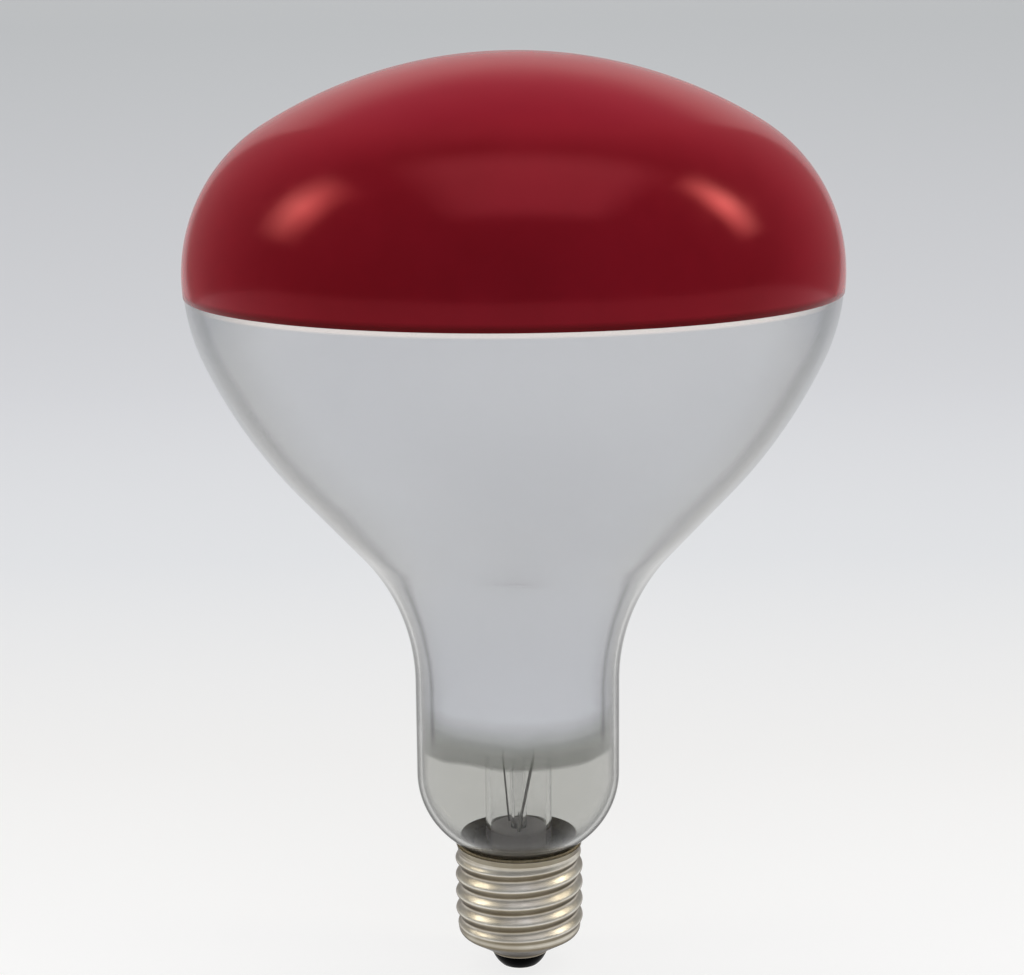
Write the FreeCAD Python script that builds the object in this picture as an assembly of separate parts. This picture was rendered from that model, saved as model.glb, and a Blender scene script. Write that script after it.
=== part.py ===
import FreeCAD, Part
import math
import os

# Infrared heat lamp: a blown reflector bulb with a red front, a silvered back, a clear neck and a screw cap.
# Millimetres. The lamp stands on its cap along +Z, and the origin is the tip of the centre contact.
# A section is drawn in the XZ plane, with X as the radius, and is turned about the Z axis.

# Glass envelope, outside sizes
overall_length = 185.5
bulb_diameter = 127.0
crown_radius = 91.0
shoulder_radius = 33.5
upper_flank_radius = 39.0
upper_flank_angle = 24.5
lower_flank_radius = 99.0
cone_angle = 42.5
throat_radius = 40.5
neck_diameter = 41.1
neck_shoulder_radius = 16.7
neck_shoulder_angle = 50.0
tube_end_diameter = 21.6
tube_end_fillet = 1.2
tube_end_height = 17.0
glass_wall = 1.0

# Coatings on the glass
red_coating = 0.15
mirror_coating = 0.15
red_edge_drop = 3.4
mirror_edge_height = 48.5

# Screw cap: a drawn shell with a rolled right-hand thread
cap_height = 27.0
rim_diameter = 25.8
thread_diameter = 26.1
thread_depth = 1.0
thread_pitch = 3.629
thread_bottom = 8.8
thread_top = 25.8
thread_run_out = 2.0
thread_front_crest = 20.8
shell_wall = 0.3
cap_bend_radius = 1.5
cap_cone_angle = 58.0
lip_fillet = 0.6
lip_diameter = 12.3
lip_height = 3.7
glass_seat = 0.9
steps_per_turn = 12
sewing_tolerance = 1e-6

# Cement, insulator and contact in the cap
cement_bottom = 17.6
cement_over_rim = 0.5
insulator_bowl_radius = 6.0
insulator_top = 8.2
insulator_dish_depth = 2.4
contact_diameter = 6.2
contact_thickness = 0.5
contact_stand_off = 0.25
eyelet_diameter = 2.6
eyelet_bore = 1.6
eyelet_length = 1.6
solder_drop_height = 0.35
solder_drop_diameter = 3.2
rim_solder_radius = 0.9
rim_solder_offset = 0.2

# Stem: a flared tube that is pressed flat at its top
stem_diameter = 13.6
stem_wall = 1.0
press_start = 50.0
press_height = 57.0
press_top = 66.0
press_width = 14.8
press_thickness = 5.6
press_floor = 1.4
press_slot_wall = 2.2
exhaust_diameter = 3.4
exhaust_bore = 2.0
exhaust_depth_in_press = 3.0
exhaust_tip_height = 11.0
exhaust_tip_length = 4.0
exhaust_tip_point = 0.5
plug_bottom = 22.0
plug_top = 30.0

# Wires, filament and its support
lead_spacing = 6.2
outer_lead_diameter = 0.6
rim_lead_diameter = 0.4
seal_wire_diameter = 0.5
inner_lead_diameter = 0.9
wire_bend = 1.2
lead_bend_height = 45.0
lead_gather_height = 31.0
lead_past_exhaust = 1.6
lead_under_tip = 3.0
lead_end_in_solder = 0.2
rim_lead_angle = 130.0
rim_lead_under_stem = 1.2
rim_lead_end = 0.4
lead_rise = 4.0
arbor_diameter = 3.2
arbor_length = 24.0
button_diameter = 7.0
button_height = 3.6
filament_height = 97.0
filament_ring_diameter = 30.0
filament_coil_diameter = 1.4
filament_gap_angle = 70.0
filament_tail = 3.0
support_count = 5
support_diameter = 0.45
support_depth = 1.5
support_reach = 3.0
eye_clearance = 0.3

# Places that follow from those sizes
bulb_radius = bulb_diameter / 2
neck_radius = neck_diameter / 2
tube_end_radius = tube_end_diameter / 2
crown_end_angle = math.degrees(math.acos((bulb_radius - shoulder_radius) / (crown_radius - shoulder_radius)))
widest_height = (overall_length - crown_radius
                 + (crown_radius - shoulder_radius) * math.sin(math.radians(crown_end_angle)))
red_edge_height = widest_height - red_edge_drop
shell_radius = (thread_diameter - thread_depth) / 2
contact_bottom = solder_drop_height
insulator_bottom = contact_bottom + contact_stand_off
slot_top = press_height - press_floor
arbor_top = press_top + arbor_length


def at(radius, height):
    """A point of a half section."""
    return FreeCAD.Vector(radius, 0, height)


def polar(centre, radius, angle):
    """The point of a half section that lies at an angle above the horizontal of a centre."""
    turn = math.radians(angle)
    return centre + at(radius * math.cos(turn), radius * math.sin(turn))


def arc(centre, radius, start, end):
    """A round stretch of a half section between two angles."""
    corners = [polar(centre, radius, angle) for angle in (start, (start + end) / 2, end)]
    return Part.Arc(*corners).toShape()


def ends(step):
    """The first and last point of an arc, or a corner twice."""
    if isinstance(step, FreeCAD.Vector):
        return step, step
    return step.valueAt(step.FirstParameter), step.valueAt(step.LastParameter)


def turned(*steps):
    """The solid of revolution of a closed half section of corners and arcs, joined by straight lines."""
    edges = []
    for step, following in zip(steps, steps[1:] + steps[:1]):
        if not isinstance(step, FreeCAD.Vector):
            edges.append(step)
        start, end = ends(step)[1], ends(following)[0]
        if start.distanceToPoint(end) > 1e-6:
            edges.append(Part.makeLine(start, end))
    face = Part.Face(Part.Wire(edges))
    return face.revolve(FreeCAD.Vector(0, 0, 0), FreeCAD.Vector(0, 0, 1), 360)


def slab(bottom, top):
    """All that lies between two heights."""
    return Part.makeCylinder(bulb_diameter, top - bottom, FreeCAD.Vector(0, 0, bottom))


def turning_in(radius, height, convex, angle, concave, end_radius, inset):
    """Two arcs that lead a wall in from one radius to a smaller one at an angle to the axis."""
    top_centre = at(radius - convex, height)
    bend_end = polar(top_centre, convex, -angle)
    slope = math.radians(angle)
    run = bend_end.x - end_radius - concave * (1 - math.cos(slope))
    low_height = bend_end.z - run / math.tan(slope) - concave * math.sin(slope)
    low_centre = at(end_radius + concave, low_height)
    upper = arc(top_centre, convex - inset, 0, -angle)
    lower = arc(low_centre, concave + inset, 180 - angle, 180)
    return [upper, lower]


def face_arcs(inset):
    """The domed face, from the crown to the widest plane."""
    crown = arc(at(0, overall_length - crown_radius), crown_radius - inset, 90, crown_end_angle)
    shoulder = arc(at(bulb_radius - shoulder_radius, widest_height), shoulder_radius - inset, crown_end_angle, 0)
    return [crown, shoulder]


def back_arcs(inset):
    """The conical back, from the widest plane to the straight neck."""
    upper_centre = at(bulb_radius - upper_flank_radius, widest_height)
    upper = arc(upper_centre, upper_flank_radius - inset, 0, -upper_flank_angle)
    join = polar(upper_centre, upper_flank_radius, -upper_flank_angle)
    lower_centre = polar(join, -lower_flank_radius, -upper_flank_angle)
    lower = arc(lower_centre, lower_flank_radius - inset, -upper_flank_angle, -cone_angle)
    cone_start = polar(lower_centre, lower_flank_radius, -cone_angle)
    slope = math.radians(cone_angle)
    run = cone_start.x - neck_radius - throat_radius * (1 - math.cos(slope))
    throat_height = cone_start.z - run / math.tan(slope) - throat_radius * math.sin(slope)
    throat = arc(at(neck_radius + throat_radius, throat_height), throat_radius + inset, 180 - cone_angle, 180)
    return [upper, lower, throat]


def neck_arcs(inset):
    """The neck's lower end, which clears the cap's rim by the seat and turns into the tube end."""
    slope = math.radians(neck_shoulder_angle)
    bend_end_radius = neck_radius - neck_shoulder_radius * (1 - math.cos(slope))
    over_rim = (bend_end_radius - rim_diameter / 2) / math.tan(slope)
    height = cap_height + glass_seat + over_rim + neck_shoulder_radius * math.sin(slope)
    return turning_in(neck_radius, height, neck_shoulder_radius, neck_shoulder_angle,
                      tube_end_fillet, tube_end_radius, inset)


def bulb_body(inset):
    """Everything inside the envelope's outer face moved inward by the inset."""
    tube_end = at(tube_end_radius - inset, tube_end_height)
    outline = face_arcs(inset) + back_arcs(inset) + neck_arcs(inset)
    return turned(*outline, tube_end, at(0, tube_end_height))


def glass_envelope():
    """The blown bulb, open at its tube end."""
    return bulb_body(0).cut(bulb_body(glass_wall))


def red_front_coating():
    """The filter skin outside the face, down to just below the widest plane."""
    skin = bulb_body(-red_coating).cut(bulb_body(0))
    return skin.common(slab(red_edge_height, 2 * overall_length))


def reflector_coating():
    """The mirror film inside the back, from the red edge down into the neck."""
    film = bulb_body(glass_wall).cut(bulb_body(glass_wall + mirror_coating))
    return film.common(slab(mirror_edge_height, red_edge_height))


def thread_path():
    """The slim right-hand helix that the rolled thread's circle rides on, easing to the axis at both ends."""
    steps = steps_per_turn * math.ceil((thread_top - thread_bottom) / thread_pitch)
    points = []
    for step in range(steps + 1):
        height = thread_bottom + (thread_top - thread_bottom) * step / steps
        ease = min(1, (height - thread_bottom) / thread_run_out, (thread_top - height) / thread_run_out)
        offset = thread_depth / 2 * ease * ease * (3 - 2 * ease)
        turn = 2 * math.pi * (height - thread_front_crest) / thread_pitch - math.pi / 2
        points.append(FreeCAD.Vector(offset * math.cos(turn), offset * math.sin(turn), height))
    path = Part.BSplineCurve()
    path.interpolate(points)
    return path


def threaded_face(radius):
    """The face swept by a level circle carried along the thread's helix: a round, single-start thread."""
    path = thread_path()
    corners = [(1, 0), (1, 1), (0, 1), (-1, 1), (-1, 0), (-1, -1), (0, -1), (1, -1), (1, 0)]
    circle = [FreeCAD.Vector(radius * x, radius * y, 0) for x, y in corners]
    poles = [[point + pole for pole in path.getPoles()] for point in circle]
    weights = [[math.sqrt(0.5) if x and y else 1] * path.NbPoles for x, y in corners]
    surface = Part.BSplineSurface()
    surface.buildFromPolesMultsKnots(poles, [3, 2, 2, 2, 3], path.getMultiplicities(), [0, 1, 2, 3, 4],
                                     path.getKnots(), False, False, 2, path.Degree, weights)
    return surface.toShape()


def cap_bottom_arcs(inset):
    """The bend and the fillet on either side of the shell's bottom cone."""
    return turning_in(shell_radius, thread_bottom, cap_bend_radius, cap_cone_angle,
                      lip_fillet, lip_diameter / 2, inset)


def cap_skin(inset):
    """The faces of the cap's wall from its rim to its lip, moved inward by the inset."""
    bend, fillet = cap_bottom_arcs(inset)
    collar = Part.makeLine(at(rim_diameter / 2 - inset, cap_height), at(shell_radius - inset, thread_top))
    cone = Part.makeLine(ends(bend)[1], ends(fillet)[0])
    lip = Part.makeLine(ends(fillet)[1], at(lip_diameter / 2 - inset, lip_height))
    lines = (collar, bend, cone, fillet, lip)
    turned_faces = [line.revolve(FreeCAD.Vector(0, 0, 0), FreeCAD.Vector(0, 0, 1), 360) for line in lines]
    return turned_faces + [threaded_face(shell_radius - inset)]


def flat_ring(radius, hole, height):
    """A level disc, with a round hole if the hole has a size."""
    edges = [Part.Wire(Part.makeCircle(size, FreeCAD.Vector(0, 0, height))) for size in (radius, hole) if size]
    return Part.Face(edges)


def sewn(faces):
    """The solid that a closed set of faces encloses."""
    shell = Part.makeShell(faces)
    shell.sewShape()
    shell.fix(sewing_tolerance, sewing_tolerance, sewing_tolerance)
    solid = Part.Solid(shell)
    if solid.Volume < 0:
        solid.reverse()
    return solid


def cap_shell():
    """The thin drawn shell, open at its rim and at its lip."""
    rim = rim_diameter / 2
    lip = lip_diameter / 2
    edges = [flat_ring(rim, rim - shell_wall, cap_height), flat_ring(lip, lip - shell_wall, lip_height)]
    return sewn(cap_skin(0) + cap_skin(shell_wall) + edges)


def cap_hollow():
    """Everything inside the shell's inner face."""
    rim = rim_diameter / 2 - shell_wall
    lip = lip_diameter / 2 - shell_wall
    return sewn(cap_skin(shell_wall) + [flat_ring(rim, 0, cap_height), flat_ring(lip, 0, lip_height)])


def basing_cement(rim_lead, rim_solder):
    """The cement between the glass and the shell, swelling out over the rim, cast round the rim's lead."""
    filling = cap_hollow().common(slab(cement_bottom, cap_height))
    swell = Part.makeCylinder(rim_diameter / 2 - shell_wall, cement_over_rim, FreeCAD.Vector(0, 0, cap_height))
    return filling.fuse(swell).cut([bulb_body(0), rim_lead, rim_solder])


def contact_body():
    """The centre contact without its bore: a disc with an eyelet."""
    disc_radius = contact_diameter / 2
    disc_top = contact_bottom + contact_thickness
    eyelet_top = disc_top + eyelet_length
    eyelet_radius = eyelet_diameter / 2
    return turned(at(0, contact_bottom), at(disc_radius, contact_bottom), at(disc_radius, disc_top),
                  at(eyelet_radius, disc_top), at(eyelet_radius, eyelet_top), at(0, eyelet_top))


def centre_contact():
    """The disc and eyelet that the lead's end is soldered into."""
    bore = Part.makeCylinder(eyelet_bore / 2, insulator_top)
    return contact_body().cut(bore)


def cap_insulator():
    """The black glass cast into the shell's bottom, with its bowl outside and a dished top inside."""
    lip_radius = lip_diameter / 2 - shell_wall
    rise = math.sqrt(insulator_bowl_radius ** 2 - lip_radius ** 2)
    centre = at(0, lip_height + rise)
    lip_angle = math.degrees(math.asin(rise / insulator_bowl_radius))
    end_angle = math.degrees(math.asin((centre.z - insulator_bottom) / insulator_bowl_radius))
    bowl = turned(at(0, lip_height), arc(centre, insulator_bowl_radius, -lip_angle, -end_angle),
                  at(0, insulator_bottom))
    lining = turned(at(0, thread_bottom), *cap_bottom_arcs(shell_wall), at(lip_radius, lip_height),
                    at(0, lip_height))
    inside = lining.common(slab(lip_height, insulator_top))
    dish = turned(at(0, insulator_top - insulator_dish_depth), at(shell_radius, insulator_top),
                  at(0, insulator_top))
    bore = Part.makeCylinder(eyelet_diameter / 2, insulator_top)
    return bowl.fuse(inside).cut(dish).cut(bore).cut(contact_body())


def contact_solder(contact_lead):
    """The drop of solder under the contact, drawn up into its eyelet round the lead."""
    drop_radius = solder_drop_diameter / 2
    ball = (drop_radius ** 2 + solder_drop_height ** 2) / (2 * solder_drop_height)
    edge_angle = math.degrees(math.acos(drop_radius / ball))
    bore_radius = eyelet_bore / 2
    drop = turned(arc(at(0, ball), ball, -90, -edge_angle), at(bore_radius, contact_bottom),
                  at(bore_radius, contact_bottom + contact_thickness), at(0, contact_bottom + contact_thickness))
    return drop.cut(contact_lead)


def rim_solder(rim_lead):
    """The bead that joins the other lead to the shell, on the rim at the back."""
    centre = FreeCAD.Vector(0, rim_diameter / 2 + rim_solder_offset, cap_height + rim_solder_offset)
    bead = Part.makeSphere(rim_solder_radius, centre)
    collar = turned(at(0, thread_top), at(shell_radius, thread_top), at(rim_diameter / 2, cap_height),
                    at(0, cap_height))
    return bead.cut(collar).cut(bulb_body(0)).cut(rim_lead)


def oval(width, depth, height):
    """A level oval, as a wire."""
    return Part.Wire(Part.Ellipse(FreeCAD.Vector(0, 0, height), width / 2, depth / 2).toShape())


def ring(radius, height):
    """A level circle, as a wire."""
    return Part.Wire(Part.makeCircle(radius, FreeCAD.Vector(0, 0, height)))


def stem():
    """The flared glass tube: its rim closes the tube end, and its top is pressed flat on the wires."""
    outside = stem_diameter / 2
    inside = outside - stem_wall
    flare = tube_end_radius - glass_wall - outside
    centre = at(outside + flare, tube_end_height + flare)
    rim = tube_end_height - stem_wall
    tube = turned(at(outside, press_start), arc(centre, flare, 180, 270), at(tube_end_radius, tube_end_height),
                  at(tube_end_radius, rim), arc(centre, flare + stem_wall, 270, 180), at(inside, press_start))
    taper = Part.makeLoft([ring(outside, press_start), oval(press_width, press_thickness, press_height)], True)
    slot_width = press_width - 2 * press_slot_wall
    slot_depth = press_thickness - 2 * press_slot_wall
    hollow = Part.makeLoft([ring(inside, press_start), oval(slot_width, slot_depth, slot_top)], True)
    press = Part.Face(oval(press_width, press_thickness, press_height))
    block = press.extrude(FreeCAD.Vector(0, 0, press_top - press_height))
    glass = tube.fuse([taper.cut(hollow), block])
    exhaust_top = slot_top + exhaust_depth_in_press
    exhaust = Part.makeCylinder(exhaust_diameter / 2, exhaust_top - press_start,
                                FreeCAD.Vector(0, 0, press_start))
    seals = [seal_wire(side) for side in (-1, 1)]
    return glass.cut([exhaust] + seals).removeSplitter()


def exhaust_tube():
    """The tube that the bulb was pumped through, from the press down to its sealed tip."""
    outside = exhaust_diameter / 2
    inside = exhaust_bore / 2
    top = slot_top + exhaust_depth_in_press
    tip_top = exhaust_tip_height + exhaust_tip_length
    return turned(at(0, exhaust_tip_height), at(exhaust_tip_point, exhaust_tip_height), at(outside, tip_top),
                  at(outside, top), at(inside, top), at(inside, tip_top),
                  at(0, tip_top - exhaust_tip_length / 2))


def stem_plug(leads):
    """The heat-resisting plug that closes the stem's bore above the cap, round the exhaust tube and the leads."""
    start = FreeCAD.Vector(0, 0, plug_bottom)
    plug = Part.makeCylinder(stem_diameter / 2 - stem_wall, plug_top - plug_bottom, start)
    exhaust = Part.makeCylinder(exhaust_diameter / 2, plug_top - plug_bottom, start)
    return plug.cut([exhaust] + leads)


def bent_path(points, bend):
    """Straight runs between points, with each corner rounded to a bend radius."""
    edges = []
    start = points[0]
    for before, corner, after in zip(points, points[1:], points[2:]):
        arriving = (corner - before).normalize()
        leaving = (after - corner).normalize()
        half_turn = arriving.getAngle(leaving) / 2
        trim = bend * math.tan(half_turn)
        inward = (leaving - arriving).normalize()
        middle = corner + inward * (bend / math.cos(half_turn) - bend)
        bend_start, bend_end = corner - arriving * trim, corner + leaving * trim
        edges.append(Part.makeLine(start, bend_start))
        edges.append(Part.Arc(bend_start, middle, bend_end).toShape())
        start = bend_end
    edges.append(Part.makeLine(start, points[-1]))
    return Part.Wire(edges)


def bent_wire(points, diameter):
    """A round wire along a bent path."""
    path = bent_path(points, wire_bend)
    profile = Part.Wire(Part.makeCircle(diameter / 2, points[0], points[1] - points[0]))
    return path.makePipeShell([profile], True, True)


def seal_wire(side):
    """The wire that is sealed through the press, on one side of the axis."""
    start = FreeCAD.Vector(side * lead_spacing / 2, 0, slot_top)
    return Part.makeCylinder(seal_wire_diameter / 2, press_top - slot_top, start)


def round_the_axis(angle, radius, height):
    """A point at an angle round the axis, counted from +X."""
    turn = math.radians(angle)
    return FreeCAD.Vector(radius * math.cos(turn), radius * math.sin(turn), height)


def contact_lead():
    """The lead on the right, which passes before the exhaust tube and ends in the contact's solder."""
    side = lead_spacing / 2
    beside = exhaust_diameter / 2 + lead_past_exhaust
    return bent_wire([FreeCAD.Vector(side, 0, slot_top),
                      FreeCAD.Vector(side, 0, lead_bend_height),
                      FreeCAD.Vector(0, -beside, lead_gather_height),
                      FreeCAD.Vector(0, -beside, exhaust_tip_height),
                      FreeCAD.Vector(0, 0, exhaust_tip_height - lead_under_tip),
                      FreeCAD.Vector(0, 0, contact_bottom + lead_end_in_solder)], outer_lead_diameter)


def rim_lead():
    """The lead on the left, which turns round the stem's rim and climbs in the cement to the cap's rim."""
    side = -lead_spacing / 2
    beside = exhaust_diameter / 2 + lead_past_exhaust
    inside_stem = stem_diameter / 2 - stem_wall - rim_lead_under_stem
    channel = (tube_end_radius + shell_radius - thread_depth / 2 - shell_wall) / 2
    under = tube_end_height - stem_wall - rim_lead_under_stem
    rise = 1 / math.tan(math.radians(neck_shoulder_angle))
    corner = rim_diameter / 2 - shell_wall
    over_corner = cap_height + (glass_seat - shell_wall * rise) / 2
    reach = rim_diameter / 2 + rim_lead_end
    return bent_wire([FreeCAD.Vector(side, 0, slot_top),
                      FreeCAD.Vector(side, 0, lead_bend_height),
                      round_the_axis(rim_lead_angle, beside, lead_gather_height),
                      FreeCAD.Vector(0, inside_stem, under),
                      FreeCAD.Vector(0, channel, under),
                      FreeCAD.Vector(0, channel, over_corner - (corner - channel) * rise),
                      FreeCAD.Vector(0, reach, over_corner + (reach - corner) * rise)], rim_lead_diameter)


def filament():
    """The coil, as its outer form: a ring with a gap at the front between the two inner leads."""
    radius = filament_ring_diameter / 2
    start = -90 + filament_gap_angle / 2
    centre = round_the_axis(start, radius, filament_height)
    along = round_the_axis(start + 90, 1, 0)
    section = Part.Face(Part.Wire(Part.makeCircle(filament_coil_diameter / 2, centre, along)))
    return section.revolve(FreeCAD.Vector(0, 0, 0), FreeCAD.Vector(0, 0, 1), 360 - filament_gap_angle)


def inner_lead(side):
    """The stiff wire from the press to one end of the filament."""
    radius = filament_ring_diameter / 2
    angle = -90 + side * filament_gap_angle / 2
    foot = FreeCAD.Vector(side * lead_spacing / 2, 0, press_top)
    rise = FreeCAD.Vector(side * lead_spacing / 2, 0, press_top + lead_rise)
    end = round_the_axis(angle, radius, filament_height)
    tail = end + round_the_axis(angle - side * 90, filament_tail, 0)
    return bent_wire([foot, rise, tail, end], inner_lead_diameter)


def support_angle(index):
    """The angle round the axis of one filament support."""
    sweep = 360 - filament_gap_angle
    return -90 + filament_gap_angle / 2 + sweep * (index + 0.5) / support_count


def filament_support(index):
    """A wire from the arbor's button that ends in an eye round the filament."""
    angle = support_angle(index)
    ring_radius = filament_ring_diameter / 2
    eye_radius = filament_coil_diameter / 2 + eye_clearance + support_diameter / 2
    height = arbor_top - button_height / 2
    root = round_the_axis(angle, button_diameter / 2 - support_depth, height)
    knee = round_the_axis(angle, button_diameter / 2 + support_reach, height)
    centre = round_the_axis(angle, ring_radius, filament_height)
    end = centre - (centre - knee).normalize() * eye_radius
    stalk = bent_wire([root, knee, end], support_diameter)
    eye = Part.makeTorus(eye_radius, support_diameter / 2, centre, round_the_axis(angle + 90, 1, 0))
    return stalk.fuse(eye)


def arbor(supports):
    """The glass rod on the press, with the button that holds the filament supports."""
    rod_radius = arbor_diameter / 2
    radius = button_diameter / 2
    round_off = button_height / 2
    centre = at(radius - round_off, arbor_top - round_off)
    rod = turned(at(0, press_top), at(rod_radius, press_top), at(rod_radius, centre.z - round_off),
                 arc(centre, round_off, -90, 90), at(0, arbor_top))
    return rod.cut(supports)


def build():
    """Every piece of the lamp, by name."""
    centre_lead = contact_lead()
    side_lead = rim_lead()
    bead = rim_solder(side_lead)
    supports = [filament_support(index) for index in range(support_count)]
    pieces = {
        "glass_envelope": glass_envelope(),
        "red_front_coating": red_front_coating(),
        "reflector_coating": reflector_coating(),
        "stem": stem(),
        "exhaust_tube": exhaust_tube(),
        "arbor_rod": arbor(supports),
        "filament": filament(),
        "contact_lead": centre_lead,
        "rim_lead": side_lead,
        "stem_plug": stem_plug([centre_lead, side_lead]),
        "basing_cement": basing_cement(side_lead, bead),
        "cap_shell": cap_shell(),
        "cap_insulator": cap_insulator(),
        "centre_contact": centre_contact(),
        "contact_solder": contact_solder(centre_lead),
        "rim_solder": bead,
    }
    for name, side in (("left", -1), ("right", 1)):
        pieces["seal_wire_" + name] = seal_wire(side)
        pieces["inner_lead_" + name] = inner_lead(side)
    for index, support in enumerate(supports):
        pieces["filament_support_%d" % (index + 1)] = support
    return pieces


os.makedirs("parts", exist_ok=True)
for name, shape in build().items():
    shape.exportStep("parts/" + name + ".step")
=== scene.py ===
import math
import bpy
from mathutils import Matrix, Vector


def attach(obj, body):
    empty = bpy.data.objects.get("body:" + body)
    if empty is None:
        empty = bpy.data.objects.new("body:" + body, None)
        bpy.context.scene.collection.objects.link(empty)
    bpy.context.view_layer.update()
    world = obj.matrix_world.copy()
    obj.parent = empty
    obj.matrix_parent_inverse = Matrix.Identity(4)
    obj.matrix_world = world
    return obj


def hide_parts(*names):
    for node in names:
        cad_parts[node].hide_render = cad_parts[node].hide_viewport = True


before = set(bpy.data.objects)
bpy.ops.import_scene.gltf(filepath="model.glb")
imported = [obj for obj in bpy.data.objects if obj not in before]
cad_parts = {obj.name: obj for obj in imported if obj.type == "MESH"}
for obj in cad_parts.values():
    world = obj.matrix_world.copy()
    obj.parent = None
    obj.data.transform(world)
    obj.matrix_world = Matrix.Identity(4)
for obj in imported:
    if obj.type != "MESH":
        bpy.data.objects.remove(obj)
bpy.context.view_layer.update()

# Infrared heat lamp, dressed over its solids. Metres, in the solids' frame: the lamp stands on its contact
# along +Z, and -Y faces the camera. An outline is a list of (radius, height) points that runs from the crown
# down to the cap. Colours are linear.
mm = 0.001

# Sizes of the part's source
overall_length = 185.5 * mm
bulb_radius = 63.5 * mm
crown_radius = 91.0 * mm
shoulder_radius = 33.5 * mm
upper_flank_radius = 39.0 * mm
upper_flank_angle = 24.5
lower_flank_radius = 99.0 * mm
cone_angle = 42.5
throat_radius = 40.5 * mm
neck_radius = 20.55 * mm
neck_shoulder_radius = 16.7 * mm
neck_shoulder_angle = 50.0
tube_end_radius = 10.8 * mm
tube_end_fillet = 1.2 * mm
tube_end_height = 17.0 * mm
glass_wall = 1.0 * mm
red_coating = 0.15 * mm
mirror_coating = 0.15 * mm
red_edge_drop = 3.4 * mm
mirror_edge_height = 48.5 * mm
cap_height = 27.0 * mm
rim_radius = 12.9 * mm
glass_seat = 0.9 * mm
thread_crest_radius = 13.05 * mm
thread_valley_radius = 12.05 * mm
filament_height = 97.0 * mm
filament_ring_radius = 15.0 * mm
filament_coil_diameter = 1.4 * mm
filament_gap_angle = 70.0

# Fineness of the meshes, and the clearance between layers
segments = 192
arc_step = 1.2 * mm
sharp_angle = 45.0
layer_gap = 0.02 * mm
same_place = layer_gap / 10
tungsten_wire = 0.16 * mm
coil_pitch = 0.42 * mm
steps_per_coil_turn = 10
wire_sides = 6

# Where the lacquer darkens above the red edge, and where the film is pale below it
lacquer_band_start = 0.6 * mm
lacquer_band_end = 1.6 * mm
pale_line_start = 0.7 * mm
pale_line_end = 1.1 * mm

# Lengths above the mirror film's edge
film_tone_length = 14.0 * mm
film_fade_length = 6.0 * mm
film_waver = 0.4 * mm
smoke_length = 4.0 * mm

# Heights between which the glass and the plug change, and the depth below the thread's valleys over which the
# nickel's painted shade deepens
neck_line_bottom = 50.0 * mm
neck_line_top = 96.0 * mm
neck_line_flare_bottom = 62.0 * mm
neck_line_flare_top = 92.0 * mm
rim_mirror_bottom = 85.0 * mm
rim_mirror_top = 105.0 * mm
dim_gloss_bottom = 34.0 * mm
dim_gloss_top = 90.0 * mm
plug_stain_bottom = 26.0 * mm
plug_stain_top = 27.4 * mm
valley_shade_depth = 1.0 * mm

# The stretch in which the values of soft noise lie
noise_low = 0.3
noise_high = 0.7

# Camera of the photograph
camera_distance = 406.2 * mm
camera_height = 186.78 * mm
camera_pitch = 11.941
camera_yaw = 0.1
camera_roll = -0.556
camera_lens = 73.75
camera_sensor = 36.0
camera_clip_start = 0.01

# Studio
floor_front = 6.0
floor_narrowing = 0.3
floor_back = 0.7
floor_half_width = 6.0
sweep_radius = 0.5
sweep_half_width = 0.6
sweep_top = 2.25
sweep_steps = 24
paper_run = 3.4
pale_share = 0.82
room_colour = (0.97, 0.98, 1.0, 1)
room_light = 0.2
room_paleness = 0.8
overhead_place = (0, 0.15, 1.3)
overhead_size = (1.0, 1.0)
overhead_power = 9.0
ceiling_place = (0.1, -0.4, 1.06)
ceiling_target = (0.1, -0.4, 0)
ceiling_size = (1.15, 0.95)
ceiling_colour = (1, 0.97, 1)
ceiling_glow = 1.3
ceiling_core = 0.6
softbox_colour = (1, 0.89, 0.68)
softbox_glow_left = 10.5
softbox_glow_right = 16.0
softbox_distance = 1.0
softbox_elevation = 35.0
softbox_width_left = 0.42
softbox_width_right = 0.28
softbox_length = 0.6
softbox_core = 0

# The arcs of crown and shoulder meet at an angle and end at the widest plane
shoulder_offset = crown_radius - shoulder_radius
crown_end_angle = math.degrees(math.acos((bulb_radius - shoulder_radius) / shoulder_offset))
widest_height = overall_length - crown_radius + shoulder_offset * math.sin(math.radians(crown_end_angle))
red_edge_height = widest_height - red_edge_drop


def polar(centre, radius, angle):
    """The outline point at an angle above the horizontal of a centre."""
    turn = math.radians(angle)
    return centre[0] + radius * math.cos(turn), centre[1] + radius * math.sin(turn)


def arc(centre, radius, start, end):
    """Points of a round stretch of an outline between two angles."""
    steps = max(4, math.ceil(math.radians(abs(end - start)) * radius / arc_step))
    return [polar(centre, radius, start + (end - start) * step / steps) for step in range(steps + 1)]


def face_outline(inset):
    """The domed face, from the crown to the widest plane."""
    crown = arc((0, overall_length - crown_radius), crown_radius - inset, 90, crown_end_angle)
    shoulder_centre = (bulb_radius - shoulder_radius, widest_height)
    shoulder = arc(shoulder_centre, shoulder_radius - inset, crown_end_angle, 0)
    return crown + shoulder


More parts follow.
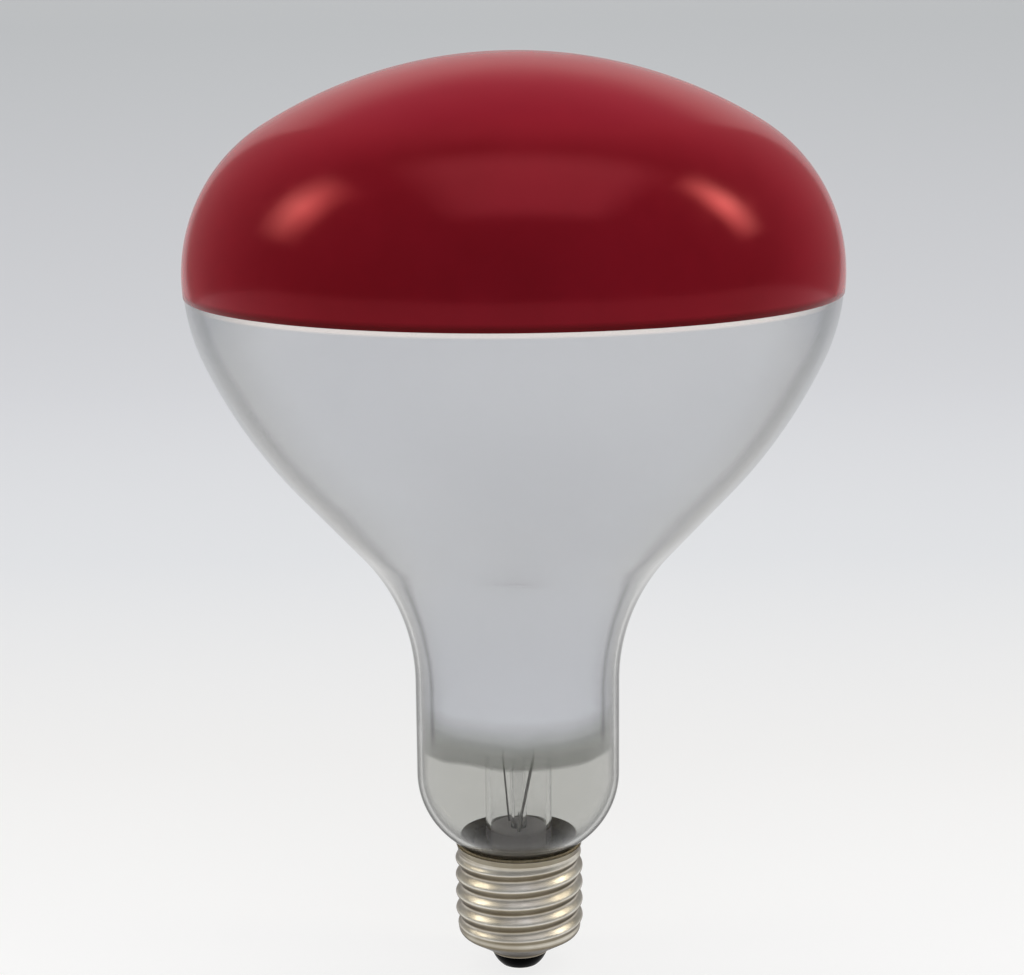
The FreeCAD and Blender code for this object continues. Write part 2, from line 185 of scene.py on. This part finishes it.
def back_outline(inset):
    """The conical back, from the widest plane to the straight neck."""
    upper_centre = (bulb_radius - upper_flank_radius, widest_height)
    upper = arc(upper_centre, upper_flank_radius - inset, 0, -upper_flank_angle)
    join = polar(upper_centre, upper_flank_radius, -upper_flank_angle)
    lower_centre = polar(join, -lower_flank_radius, -upper_flank_angle)
    lower = arc(lower_centre, lower_flank_radius - inset, -upper_flank_angle, -cone_angle)
    cone_start = polar(lower_centre, lower_flank_radius, -cone_angle)
    slope = math.radians(cone_angle)
    run = cone_start[0] - neck_radius - throat_radius * (1 - math.cos(slope))
    throat_height = cone_start[1] - run / math.tan(slope) - throat_radius * math.sin(slope)
    throat = arc((neck_radius + throat_radius, throat_height), throat_radius + inset, 180 - cone_angle, 180)
    return upper + lower + throat


def neck_outline(inset):
    """The neck's lower end, which turns in over the cap's rim and ends in the cap as a tube."""
    slope = math.radians(neck_shoulder_angle)
    bend_end = neck_radius - neck_shoulder_radius * (1 - math.cos(slope))
    over_rim = (bend_end - rim_radius) / math.tan(slope)
    height = cap_height + glass_seat + over_rim + neck_shoulder_radius * math.sin(slope)
    top_centre = (neck_radius - neck_shoulder_radius, height)
    corner = polar(top_centre, neck_shoulder_radius, -neck_shoulder_angle)
    run = corner[0] - tube_end_radius - tube_end_fillet * (1 - math.cos(slope))
    low_height = corner[1] - run / math.tan(slope) - tube_end_fillet * math.sin(slope)
    low_centre = (tube_end_radius + tube_end_fillet, low_height)
    upper = arc(top_centre, neck_shoulder_radius - inset, 0, -neck_shoulder_angle)
    lower = arc(low_centre, tube_end_fillet + inset, 180 - neck_shoulder_angle, 180)
    return upper + lower + [(tube_end_radius - inset, tube_end_height)]


def bulb_outline(inset):
    """The whole envelope's face moved inward by the inset."""
    return face_outline(inset) + back_outline(inset) + neck_outline(inset)


def crossing(upper, lower, height):
    """The point at a height between two neighbouring outline points."""
    share = (upper[1] - height) / (upper[1] - lower[1])
    return upper[0] + (lower[0] - upper[0]) * share, height


def between(outline, top, bottom):
    """The stretch of a falling outline between two heights, cut exactly there."""
    stretch = []
    for upper, lower in zip(outline, outline[1:]):
        if lower[1] <= top and upper[1] >= bottom and upper[1] > lower[1]:
            stretch.append(upper if upper[1] <= top else crossing(upper, lower, top))
            if lower[1] < bottom:
                stretch.append(crossing(upper, lower, bottom))
    return stretch


def without_repeats(outline):
    """The outline with each place named once."""
    kept = [outline[0]]
    for point in outline[1:]:
        if math.dist(point, kept[-1]) > same_place:
            kept.append(point)
    return kept


def ring_of_points(radius, height, count):
    """Points all round the axis, or the one point on it."""
    if radius < same_place:
        return [(0, 0, height)]
    turns = [2 * math.pi * step / count for step in range(count)]
    return [(radius * math.cos(turn), radius * math.sin(turn), height) for turn in turns]


def band(first, second):
    """The faces between two neighbouring rings of vertices."""
    count = max(len(first), len(second))
    faces = []
    for step in range(count):
        corners = []
        for ring, index in ((first, step), (second, step), (second, step + 1), (first, step + 1)):
            corner = ring[index % len(ring)]
            if corner not in corners:
                corners.append(corner)
        faces.append(corners)
    return faces


def new_piece(name, points, faces):
    """A smooth object in the scene, with its true corners kept sharp."""
    mesh = bpy.data.meshes.new(name)
    mesh.from_pydata(points, [], faces)
    mesh.shade_smooth()
    mesh.set_sharp_from_angle(angle=math.radians(sharp_angle))
    piece = bpy.data.objects.new(name, mesh)
    bpy.context.scene.collection.objects.link(piece)
    return piece


def lathe(name, outline, closed):
    """A piece turned about the axis, from an outline that ends on the axis or closes on itself."""
    points, rings = [], []
    for radius, height in without_repeats(outline):
        ring = ring_of_points(radius, height, segments)
        rings.append(range(len(points), len(points) + len(ring)))
        points.extend(ring)
    following = rings[1:] + rings[:1] if closed else rings[1:]
    faces = []
    for ring, next_ring in zip(rings, following):
        faces.extend(band(ring, next_ring))
    return new_piece(name, points, faces)


def glass_bulb():
    """The blown envelope with both faces of its wall."""
    return lathe("glass_bulb", bulb_outline(0) + bulb_outline(glass_wall)[::-1], False)


def red_face():
    """The red lacquer over the domed face, thinning out at its edge."""
    top = overall_length + red_coating
    outer = between(bulb_outline(-red_coating), top, red_edge_height + red_coating)
    inner = between(bulb_outline(-layer_gap), top, red_edge_height)
    return lathe("red_face", outer + inner[::-1], False)


def mirror_back():
    """The bright film inside the glass from the red edge down into the neck."""
    outer = between(bulb_outline(glass_wall + layer_gap), red_edge_height, mirror_edge_height)
    inner = between(bulb_outline(glass_wall + mirror_coating), red_edge_height, mirror_edge_height)
    return lathe("mirror_back", outer + inner[::-1], True)


def coil_point(turn_share, along):
    """A place on the coiled filament: how far along its ring, and how far round the coil."""
    start = math.radians(-90 + filament_gap_angle / 2)
    angle = start + along * math.radians(360 - filament_gap_angle)
    radius = (filament_coil_diameter - tungsten_wire) / 2
    reach = filament_ring_radius + radius * math.cos(turn_share)
    height = filament_height + radius * math.sin(turn_share)
    return Vector((reach * math.cos(angle), reach * math.sin(angle), height))


def wire_mesh(name, path, radius):
    """A round wire along a path of points."""
    points, rings = [], []
    for index, centre in enumerate(path):
        along = (path[min(index + 1, len(path) - 1)] - path[max(index - 1, 0)]).normalized()
        side = along.cross(Vector((0, 0, 1))).normalized()
        lift = side.cross(along)
        rings.append(range(len(points), len(points) + wire_sides))
        for step in range(wire_sides):
            turn = 2 * math.pi * step / wire_sides
            points.append(centre + radius * (side * math.cos(turn) + lift * math.sin(turn)))
    faces = [list(rings[0]), list(rings[-1])[::-1]]
    for ring, next_ring in zip(rings, rings[1:]):
        faces.extend(band(ring, next_ring))
    return new_piece(name, points, faces)


def coiled_filament():
    """The tungsten coil itself, wound along the filament's ring."""
    length = filament_ring_radius * math.radians(360 - filament_gap_angle)
    turns = round(length / coil_pitch)
    steps = turns * steps_per_coil_turn
    path = [coil_point(2 * math.pi * step / steps_per_coil_turn, step / steps) for step in range(steps + 1)]
    return wire_mesh("coiled_filament", path, tungsten_wire / 2)


def new_material(name, values):
    """A material with a principled shader whose constant inputs are set on its own sockets."""
    made = bpy.data.materials.new(name)
    made.use_nodes = True
    shader = made.node_tree.nodes["Principled BSDF"]
    for socket, value in values.items():
        shader.inputs[socket].default_value = value
    return made, shader


def add(made, kind, values, **settings):
    """A node whose inputs are linked to sockets or set to values."""
    node = made.node_tree.nodes.new(kind)
    for setting, value in settings.items():
        setattr(node, setting, value)
    for socket, value in values.items():
        if isinstance(value, bpy.types.NodeSocket):
            made.node_tree.links.new(value, node.inputs[socket])
        else:
            node.inputs[socket].default_value = value
    return node


def place(made):
    """Where a point of the surface lies in the lamp's frame."""
    return add(made, "ShaderNodeTexCoord", {}).outputs["Object"]


def part_of_place(made, axis):
    """One coordinate of that place."""
    return add(made, "ShaderNodeSeparateXYZ", {"Vector": place(made)}).outputs[axis]


def clouds(made, size, detail=4.0, stretch=(1, 1, 1)):
    """Soft noise with features of a size, drawn out along the axes by a stretch."""
    scale = tuple(1 / (size * length) for length in stretch)
    spread = add(made, "ShaderNodeMapping", {"Vector": place(made), "Scale": scale})
    values = {"Vector": spread.outputs["Vector"], "Scale": 1.0, "Detail": detail}
    return add(made, "ShaderNodeTexNoise", values).outputs["Fac"]


def ranged(made, value, low, high, out_low, out_high):
    """A value carried from one range to another and held at its ends."""
    values = {"Value": value, "From Min": low, "From Max": high, "To Min": out_low, "To Max": out_high}
    return add(made, "ShaderNodeMapRange", values).outputs["Result"]


def wandering(made, low, high, size, detail=4.0):
    """A value that wanders between two limits in clouds of a size."""
    return ranged(made, clouds(made, size, detail), noise_low, noise_high, low, high)


def climb(made, bottom, top):
    """How far up a point lies between two heights, from 0 to 1."""
    return ranged(made, part_of_place(made, "Z"), bottom, top, 0, 1)


def edge_on(made):
    """How far a surface turns its edge to the eye, from 0 to 1."""
    return add(made, "ShaderNodeLayerWeight", {"Blend": 0.5}).outputs["Facing"]


def sum_of(made, first, second):
    """Two values added."""
    return add(made, "ShaderNodeMath", {0: first, 1: second}, operation="ADD").outputs[0]


def product_of(made, first, second):
    """Two values multiplied."""
    return add(made, "ShaderNodeMath", {0: first, 1: second}, operation="MULTIPLY").outputs[0]


def grey(level):
    """A neutral colour."""
    return level, level, level


def ramp(made, value, stops):
    """A colour that runs through stops of (position, colour)."""
    node = add(made, "ShaderNodeValToRGB", {"Fac": value})
    elements = node.color_ramp.elements
    while len(elements) < len(stops):
        elements.new(1.0)
    for element, (position, colour) in zip(elements, stops):
        element.position = position
        element.color = (*colour, 1)
    return node.outputs["Color"]


def multiplied(made, first, second):
    """Two colours multiplied."""
    node = add(made, "ShaderNodeMix", {6: first, 7: second}, data_type="RGBA", blend_type="MULTIPLY")
    node.inputs["Factor"].default_value = 1
    return node.outputs[2]


def blended(made, share, first, second):
    """Two colours, from the first to the second as a share grows."""
    node = add(made, "ShaderNodeMix", {0: share, 6: first, 7: second}, data_type="RGBA")
    return node.outputs[2]


def feed(made, node, socket, source):
    """Links an output into a node's socket."""
    made.node_tree.links.new(source, node.inputs[socket])


def feed_output(made, socket, source):
    """Links an output into the end of the material."""
    feed(made, made.node_tree.nodes["Material Output"], socket, source)


def bumped(made, shader, height, distance, strength):
    """Gives a shader the relief of a height."""
    relief = add(made, "ShaderNodeBump", {"Height": height, "Distance": distance, "Strength": strength})
    feed(made, shader, "Normal", relief.outputs["Normal"])


def red_lacquer():
    """Deep red filter lacquer: glossy, a little uneven, with a painted crimson sheen where it turns edge on,
    and dark along its lower edge.
    """
    made, shader = new_material("red_lacquer", {
        "Metallic": 0.16, "Specular IOR Level": 0.08, "Sheen Weight": 0.3, "Sheen Roughness": 0.3,
        "Sheen Tint": (1.0, 0.22, 0.18, 1)})
    deep = ramp(made, clouds(made, 24 * mm), [
        (noise_low, (0.235, 0.007, 0.015)), (noise_high, (0.285, 0.009, 0.021))])
    # Painted sheen: the red is painted brighter crimson where the lacquer turns edge on.
    facing_for_painted_edge = ranged(made, edge_on(made), 0.35, 0.95, 0, 1)
    tone = blended(made, facing_for_painted_edge, deep, (0.5, 0.02, 0.045, 1))
    rise = climb(made, red_edge_height + lacquer_band_start, red_edge_height + lacquer_band_end)
    dark_edge = ramp(made, rise, [(0.0, (0.5, 0.3, 0.3)), (1.0, grey(1))])
    feed(made, shader, "Base Color", multiplied(made, tone, dark_edge))
    feed(made, shader, "Roughness", wandering(made, 0.12, 0.17, 6 * mm))
    bumped(made, shader, clouds(made, 20 * mm, 1.0), 0.4 * mm, 0.25)
    return made


def mirror_film():
    """Vapour-deposited mirror: cloudy, pale under the red edge, thin and grey towards its soft lower edge."""
    made, shader = new_material("mirror_film", {"Metallic": 1.0})
    waver = wandering(made, -film_waver, film_waver, 12 * mm, 1.0)
    height = sum_of(made, part_of_place(made, "Z"), waver)
    share = ranged(made, height, mirror_edge_height, mirror_edge_height + film_tone_length, 0, 1)
    edge_tone = ramp(made, share, [
        (0.0, (0.22, 0.23, 0.205)), (0.25, (0.32, 0.33, 0.3)), (0.75, (0.71, 0.725, 0.765))])
    cloudy = ramp(made, clouds(made, 45 * mm, 0.0), [(noise_low, (0.96, 0.96, 0.97)), (noise_high, grey(1))])
    pale_line = climb(made, red_edge_height - pale_line_end, red_edge_height - pale_line_start)
    tone = blended(made, pale_line, multiplied(made, edge_tone, cloudy), (1.0, 0.93, 0.91, 1))
    feed(made, shader, "Base Color", tone)
    feed(made, shader, "Roughness", wandering(made, 0.2, 0.26, 35 * mm, 0.0))
    thickness = ranged(made, height, mirror_edge_height, mirror_edge_height + film_fade_length, 0, 1)
    cover = ramp(made, thickness, [(0.0, grey(0)), (0.15, grey(0.45)), (0.65, grey(0.65)), (1.0, grey(1))])
    feed(made, shader, "Alpha", cover)
    return made


def clear_glass(name, density):
    """Glass that dims the light along its way through it, with the faint waves of flame work."""
    made, shader = new_material(name, {"Transmission Weight": 1.0, "IOR": 1.5, "Roughness": 0.0})
    absorbing = add(made, "ShaderNodeVolumeAbsorption", {"Color": (0.1, 0.14, 0.12, 1), "Density": density})
    feed_output(made, "Volume", absorbing.outputs["Volume"])
    bumped(made, shader, clouds(made, 14 * mm, 1.0), 0.1 * mm, 0.1)
    return made, shader


def stem_glass():
    """The thin clear glass inside the neck, painted a little darker where it turns edge on."""
    made, shader = clear_glass("stem_glass", 10.0)
    # Painted shade: darker where the glass turns edge on.
    feed(made, shader, "Base Color", ramp(made, edge_on(made), [(0.55, grey(0.99)), (0.95, grey(0.8))]))
    return made


def bulb_tone(made):
    """The envelope's tone: painted shade where it turns edge on, a second painted dark line inside the neck's
    edge, and smoky below the film.
    """
    facing_for_painted_edge = edge_on(made)
    # Painted shade: the glass is painted darker where it turns edge on.
    plain = ramp(made, facing_for_painted_edge, [(0.45, grey(0.93)), (0.64, grey(0.86)), (0.7, grey(0.5)), (0.9, grey(0.3))])
    # Painted shade: a dark line just inside the neck's edge.
    flare = ranged(made, part_of_place(made, "Z"), neck_line_flare_bottom, neck_line_flare_top, 0, -0.21)
    painted_neck_line = ramp(made, sum_of(made, facing_for_painted_edge, flare), [
        (0.44, grey(0.93)), (0.49, grey(0.3)), (0.54, grey(0.75)), (0.66, grey(0.7)), (0.74, grey(0.25))])
    in_neck = ramp(made, climb(made, neck_line_bottom, neck_line_top), [
        (0.0, grey(0)), (0.1, grey(1)), (0.75, grey(1)), (1.0, grey(0))])
    rise = climb(made, mirror_edge_height, mirror_edge_height + smoke_length)
    smoke = ramp(made, rise, [(0.0, (0.79, 0.79, 0.77)), (1.0, grey(1))])
    return multiplied(made, blended(made, in_neck, plain, painted_neck_line), smoke)


def bulb_glass():
    """The envelope: it mirrors more along its outline, and its gloss is dim about the seal."""
    made, shader = clear_glass("bulb_glass", 45.0)
    feed(made, shader, "Base Color", bulb_tone(made))
    rim = ranged(made, edge_on(made), 0.72, 0.85, 0, 1)
    strength = ranged(made, part_of_place(made, "Z"), rim_mirror_bottom, rim_mirror_top, 0.75, 0.4)
    feed(made, shader, "Metallic", product_of(made, rim, strength))
    gloss = ramp(made, climb(made, dim_gloss_bottom, dim_gloss_top), [
        (0.0, grey(0.08)), (0.2, grey(0.35)), (0.45, grey(0.4)), (1.0, grey(1))])
    feed(made, shader, "Specular Tint", gloss)
    return made


def radius_from_axis(made):
    """How far a point lies from the lamp's axis."""
    flat = add(made, "ShaderNodeVectorMath", {0: place(made), 1: (1, 1, 0)}, operation="MULTIPLY")
    return add(made, "ShaderNodeVectorMath", {0: flat.outputs["Vector"]}, operation="LENGTH").outputs["Value"]


def upward(made):
    """How far a surface faces up, from -1 to 1."""
    normal = add(made, "ShaderNodeNewGeometry", {}).outputs["Normal"]
    return add(made, "ShaderNodeSeparateXYZ", {"Vector": normal}).outputs["Z"]


def nickel_plate():
    """Nickel over brass: satin, with drawing lines round the shell and stains, painted shade in the thread's
    valleys and on its undersides, and a painted dark rim edge on.
    """
    made, shader = new_material("nickel_plate", {"Metallic": 1.0})
    # Painted shade: the nickel is painted darker towards the thread's valleys.
    deepest = thread_valley_radius - valley_shade_depth
    depth = ranged(made, radius_from_axis(made), deepest, thread_crest_radius, 0, 1)
    tone = ramp(made, depth, [(0.0, (0.6, 0.56, 0.5)), (0.5, (0.74, 0.7, 0.63)), (1.0, (0.94, 0.92, 0.86))])
    # Painted shade: the undersides of the thread are painted dark.
    under = ramp(made, ranged(made, upward(made), -0.8, 0.2, 0, 1), [
        (0.0, (0.42, 0.4, 0.37)), (0.2, (0.3, 0.27, 0.22)), (0.45, (0.3, 0.27, 0.21)),
        (0.8, (0.8, 0.78, 0.74)), (1.0, grey(1))])
    # Painted reflection: the metal is painted dark where it turns edge on, as if mirroring a dark room.
    edge = ramp(made, edge_on(made), [(0.55, grey(1)), (0.8, (0.4, 0.37, 0.34)), (1.0, (0.28, 0.26, 0.23))])
    stain = ramp(made, clouds(made, 5 * mm, 6.0), [(0.35, (0.84, 0.82, 0.78)), (0.65, grey(1))])
    # Random stains, multiplied with the painted shade and the painted dark rim.
    stains_and_painted_shade = multiplied(made, multiplied(made, tone, under), multiplied(made, edge, stain))
    feed(made, shader, "Base Color", stains_and_painted_shade)
    feed(made, shader, "Roughness", wandering(made, 0.36, 0.48, 2 * mm))
    drawing_lines = clouds(made, 0.25 * mm, 3.0, (30, 30, 1))
    bumped(made, shader, drawing_lines, 0.02 * mm, 0.3)
    return made


def grainy(name, dark, light, grain, roughness, relief):
    """A matt or dull surface with grain in its colour and relief."""
    made, shader = new_material(name, {})
    grains = clouds(made, grain, 6.0)
    feed(made, shader, "Base Color", ramp(made, grains, [(noise_low, dark), (noise_high, light)]))
    feed(made, shader, "Roughness", wandering(made, roughness - 0.08, roughness + 0.08, grain * 2))
    bumped(made, shader, grains, relief, 0.6)
    return made, shader


def dull_metal(name, dark, light, grain, roughness):
    """A bare metal with oxide clouds and fine wear."""
    made, shader = grainy(name, dark, light, grain, roughness, grain / 20)
    shader.inputs["Metallic"].default_value = 1.0
    return made


def fibre_plug():
    """Pale heat-resisting fibre, stained brown by the cement round its foot."""
    made, shader = grainy("fibre_plug", (0.86, 0.81, 0.83), (0.94, 0.89, 0.91), 0.8 * mm, 0.9, 0.05 * mm)
    fibre = shader.inputs["Base Color"].links[0].from_socket
    rise = climb(made, plug_stain_bottom, plug_stain_top)
    stain = ramp(made, rise, [(0.0, (0.3, 0.26, 0.17)), (1.0, grey(1))])
    feed(made, shader, "Base Color", multiplied(made, fibre, stain))
    return made


def black_glass():
    """Opaque black glass, glossy, with slight flow marks."""
    made, shader = grainy("black_glass", grey(0.001), grey(0.003), 3 * mm, 0.18, 0.03 * mm)
    shader.inputs["Specular IOR Level"].default_value = 0.02
    shader.inputs["Specular Tint"].default_value = (*grey(0.4), 1)
    return made


def dress(name, made):
    """Puts a material on a solid that shows as it is."""
    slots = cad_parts[name].data.materials
    slots.clear()
    slots.append(made)


def stand_for(piece, node, made):
    """Lets a piece of the scene stand for a solid."""
    piece.data.materials.append(made)
    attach(piece, "root")
    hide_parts(node)


def dress_lamp():
    """Every visible piece with its finish."""
    stand_for(glass_bulb(), "glass_envelope", bulb_glass())
    stand_for(red_face(), "red_front_coating", red_lacquer())
    stand_for(mirror_back(), "reflector_coating", mirror_film())
    tungsten = dull_metal("tungsten", (0.12, 0.12, 0.13), (0.24, 0.24, 0.25), 0.3 * mm, 0.5)
    stand_for(coiled_filament(), "filament", tungsten)
    thin_glass = stem_glass()
    for node in ("stem", "exhaust_tube", "arbor_rod"):
        dress(node, thin_glass)
    supports = dull_metal("support_wire", (0.30, 0.30, 0.31), (0.45, 0.45, 0.46), 0.4 * mm, 0.4)
    leads = dull_metal("lead_wire", (0.16, 0.155, 0.15), (0.30, 0.29, 0.28), 0.5 * mm, 0.45)
    seals = dull_metal("seal_wire", (0.40, 0.17, 0.11), (0.58, 0.28, 0.19), 0.5 * mm, 0.45)
    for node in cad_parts:
        if node.startswith("filament_support"):
            dress(node, supports)
        elif node.startswith("seal_wire"):
            dress(node, seals)
        elif "lead" in node:
            dress(node, leads)
    solder = dull_metal("solder", (0.42, 0.42, 0.43), (0.62, 0.62, 0.63), 0.8 * mm, 0.42)
    dress("contact_solder", solder)
    dress("rim_solder", solder)
    brass = dull_metal("contact_brass", (0.50, 0.37, 0.17), (0.68, 0.53, 0.28), 0.7 * mm, 0.35)
    dress("centre_contact", brass)
    dress("cap_shell", nickel_plate())
    dress("cap_insulator", black_glass())
    dress("stem_plug", fibre_plug())
    cement, _ = grainy("cement", (0.26, 0.215, 0.135), (0.44, 0.37, 0.25), 0.7 * mm, 0.85, 0.1 * mm)
    dress("basing_cement", cement)


def pale_paper():
    """The floor's paper, white at the lamp and grey far behind it, plain to the eye but open to shadows."""
    made, shader = new_material("pale_paper", {"Roughness": 0.9, "Specular IOR Level": 0.1})
    made.cycles.emission_sampling = "NONE"
    distance = sum_of(made, part_of_place(made, "Y"), part_of_place(made, "Z"))
    tone = ramp(made, ranged(made, distance, 0, paper_run, 0, 1), [
        (0.0, grey(0.99)), (0.038, grey(0.89)), (0.103, (0.775, 0.79, 0.815)),
        (0.206, (0.71, 0.72, 0.75)), (0.314, (0.615, 0.625, 0.65)), (0.382, (0.54, 0.555, 0.57)),
        (0.6, (0.68, 0.64, 0.62)), (0.72, (0.28, 0.26, 0.3)), (1.0, (0.2, 0.18, 0.24))])
    feed(made, shader, "Base Color", tone)
    glow = add(made, "ShaderNodeEmission", {"Color": tone, "Strength": 1.0})
    rays = add(made, "ShaderNodeLightPath", {})
    seen = sum_of(made, rays.outputs["Is Camera Ray"], rays.outputs["Is Glossy Ray"])
    seen = sum_of(made, seen, rays.outputs["Is Transmission Ray"])
    share = ranged(made, seen, 0, 1, 0, pale_share)
    both = {0: share, 1: shader.outputs["BSDF"], 2: glow.outputs["Emission"]}
    mixed = add(made, "ShaderNodeMixShader", both)
    feed_output(made, "Surface", mixed.outputs["Shader"])
    return made


def sweep():
    """The paper that lies wide round the lamp, then narrows and runs up behind it."""
    profile = [(-floor_front, 0), (floor_narrowing, 0), (floor_back, 0)]
    for step in range(1, sweep_steps + 1):
        turn = math.pi / 2 * step / sweep_steps
        profile.append((floor_back + sweep_radius * math.sin(turn), sweep_radius * (1 - math.cos(turn))))
    profile.append((floor_back + sweep_radius, sweep_top))
    points, faces = [], []
    for y, z in profile:
        reach = floor_half_width if y <= floor_narrowing else sweep_half_width
        points.extend([(-reach, y, z), (reach, y, z)])
    for index in range(0, len(points) - 2, 2):
        faces.append((index, index + 1, index + 3, index + 2))
    paper = new_piece("paper_sweep", points, faces)
    paper.data.materials.append(pale_paper())


def facing_turn(position, target):
    """The rotation of a light at a position that faces a target."""
    return (Vector(target) - Vector(position)).to_track_quat("-Z", "Y").to_euler()


def fading(made, axis, reach, core):
    """How bright a lit cloth is across one axis: full in its core and dim at its reach."""
    offset = add(made, "ShaderNodeMath", {0: part_of_place(made, axis)}, operation="ABSOLUTE").outputs[0]
    return ranged(made, offset, core * reach, reach, 1, 0)


def lit_cloth(name, position, target, size, colour, glow, core):
    """A cloth lit from behind, at a position and facing a target, with soft edges round a bright core."""
    across, up = size[0] / 2, size[1] / 2
    corners = [(-across, up, 0), (across, up, 0), (across, -up, 0), (-across, -up, 0)]
    cloth = new_piece(name, corners, [(0, 1, 2, 3)])
    cloth.location = position
    cloth.rotation_euler = facing_turn(position, target)
    made, shader = new_material(name, {"Base Color": (*grey(0.5), 1), "Emission Color": (*colour, 1)})
    brightness = product_of(made, fading(made, "X", across, core), fading(made, "Y", up, core))
    feed(made, shader, "Emission Strength", ranged(made, brightness, 0, 1, 0, glow))
    cloth.data.materials.append(made)


def area_light(name, position, target, size, power, colour):
    """A soft light at a position that faces a target."""
    light = bpy.data.lights.new(name, "AREA")
    light.shape = "RECTANGLE"
    light.size, light.size_y = size
    light.energy = power
    light.color = colour
    lamp = bpy.data.objects.new(name, light)
    lamp.location = position
    lamp.rotation_euler = facing_turn(position, target)
    bpy.context.scene.collection.objects.link(lamp)
    return lamp


def light_studio():
    """A broad light overhead, a dim ceiling cloth for the red face to mirror and a softbox at either side."""
    overhead = area_light("overhead", overhead_place, (0, 0, 0), overhead_size, overhead_power, grey(1))
    overhead.visible_glossy = False
    lit_cloth("ceiling", ceiling_place, ceiling_target, ceiling_size,
              ceiling_colour, ceiling_glow, ceiling_core)
    middle = Vector((0, 0, widest_height))
    lift = math.radians(softbox_elevation)
    sides = ((-1, softbox_width_left, softbox_glow_left), (1, softbox_width_right, softbox_glow_right))
    for side, width, glow in sides:
        position = middle + softbox_distance * Vector((side * math.cos(lift), 0, math.sin(lift)))
        lit_cloth("softbox", position, middle, (width, softbox_length), softbox_colour, glow, softbox_core)


def light_room():
    """A dim room all round, which looks paler to the camera and through glass."""
    world = bpy.data.worlds.new("room")
    world.use_nodes = True
    background = world.node_tree.nodes["Background"]
    background.inputs["Color"].default_value = room_colour
    rays = add(world, "ShaderNodeLightPath", {})
    seen = sum_of(world, rays.outputs["Is Camera Ray"], rays.outputs["Is Transmission Ray"])
    feed(world, background, "Strength", ranged(world, seen, 0, 1, room_light, room_paleness))
    bpy.context.scene.world = world


def place_camera():
    """The photograph's camera."""
    camera = bpy.data.cameras.new("camera")
    camera.lens = camera_lens
    camera.sensor_width = camera_sensor
    camera.clip_start = camera_clip_start
    eye = bpy.data.objects.new("camera", camera)
    yaw = Matrix.Rotation(math.radians(camera_yaw), 4, "Z")
    pitch = Matrix.Rotation(math.radians(90 - camera_pitch), 4, "X")
    roll = Matrix.Rotation(math.radians(camera_roll), 4, "Z")
    eye.matrix_world = Matrix.Translation((0, -camera_distance, camera_height)) @ yaw @ pitch @ roll
    bpy.context.scene.collection.objects.link(eye)
    bpy.context.scene.camera = eye


dress_lamp()
sweep()
light_studio()
light_room()
place_camera()
bpy.context.scene.view_settings.view_transform = "Standard"
